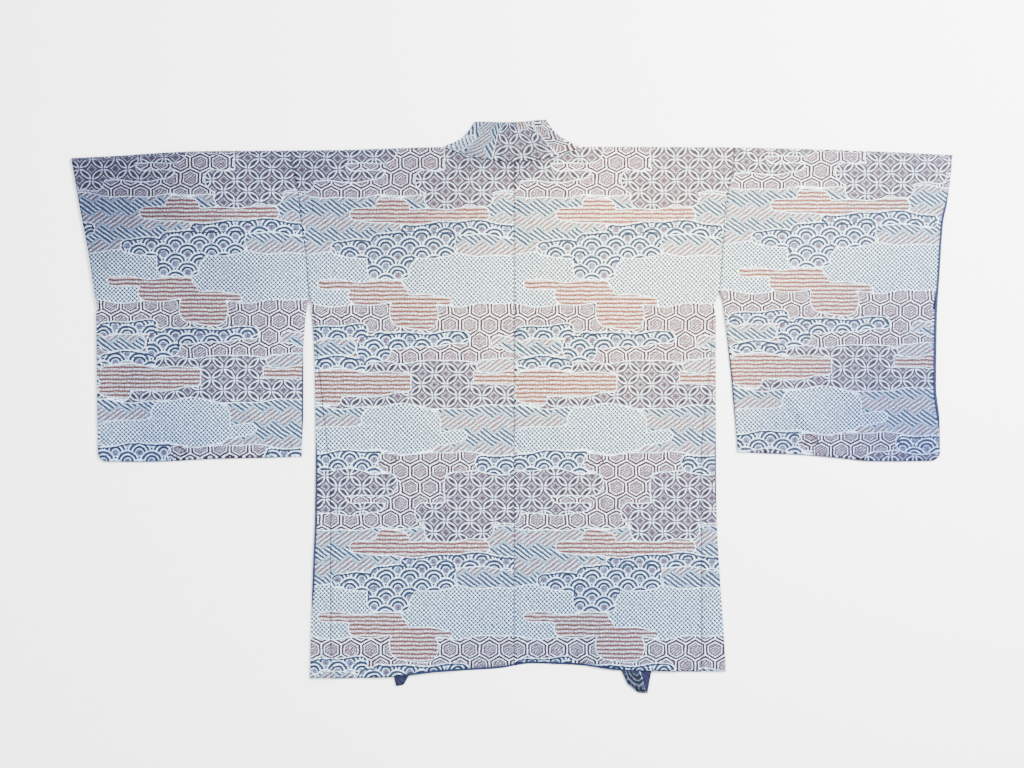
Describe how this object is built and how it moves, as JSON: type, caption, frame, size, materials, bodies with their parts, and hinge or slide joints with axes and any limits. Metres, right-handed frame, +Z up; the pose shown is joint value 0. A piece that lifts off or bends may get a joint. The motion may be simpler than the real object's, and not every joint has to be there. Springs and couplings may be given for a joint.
{
  "type": "haori jacket",
  "caption": "Traditional lined kimono jacket laid flat on its front with its sleeves spread, in woven haze bands of geometric patterns.",
  "frame": {"origin": "on the floor under the middle of the whole jacket's outline", "axes": "+X along the spread sleeves, to the right when the collar is away from you; +Y from the hem to the collar; +Z up, out of the jacket's back"},
  "size_m": [1.3201, 0.8583, 0.0079],
  "materials": {
    "woven_cloth": "patterned silk-like jacquard with raised pale threads, soft sheen",
    "lining_cloth": "plain smooth navy lining with a slight sheen"
  },
  "bodies": {
    "root": {"body_left": "woven_cloth", "body_right": "woven_cloth", "sleeve_left": "woven_cloth", "sleeve_right": "woven_cloth", "gusset_left": "woven_cloth", "gusset_right": "woven_cloth", "collar": "woven_cloth", "lining_left": "lining_cloth", "lining_right": "lining_cloth", "cuff_edge_right": "lining_cloth"}
  },
  "joints": []
}
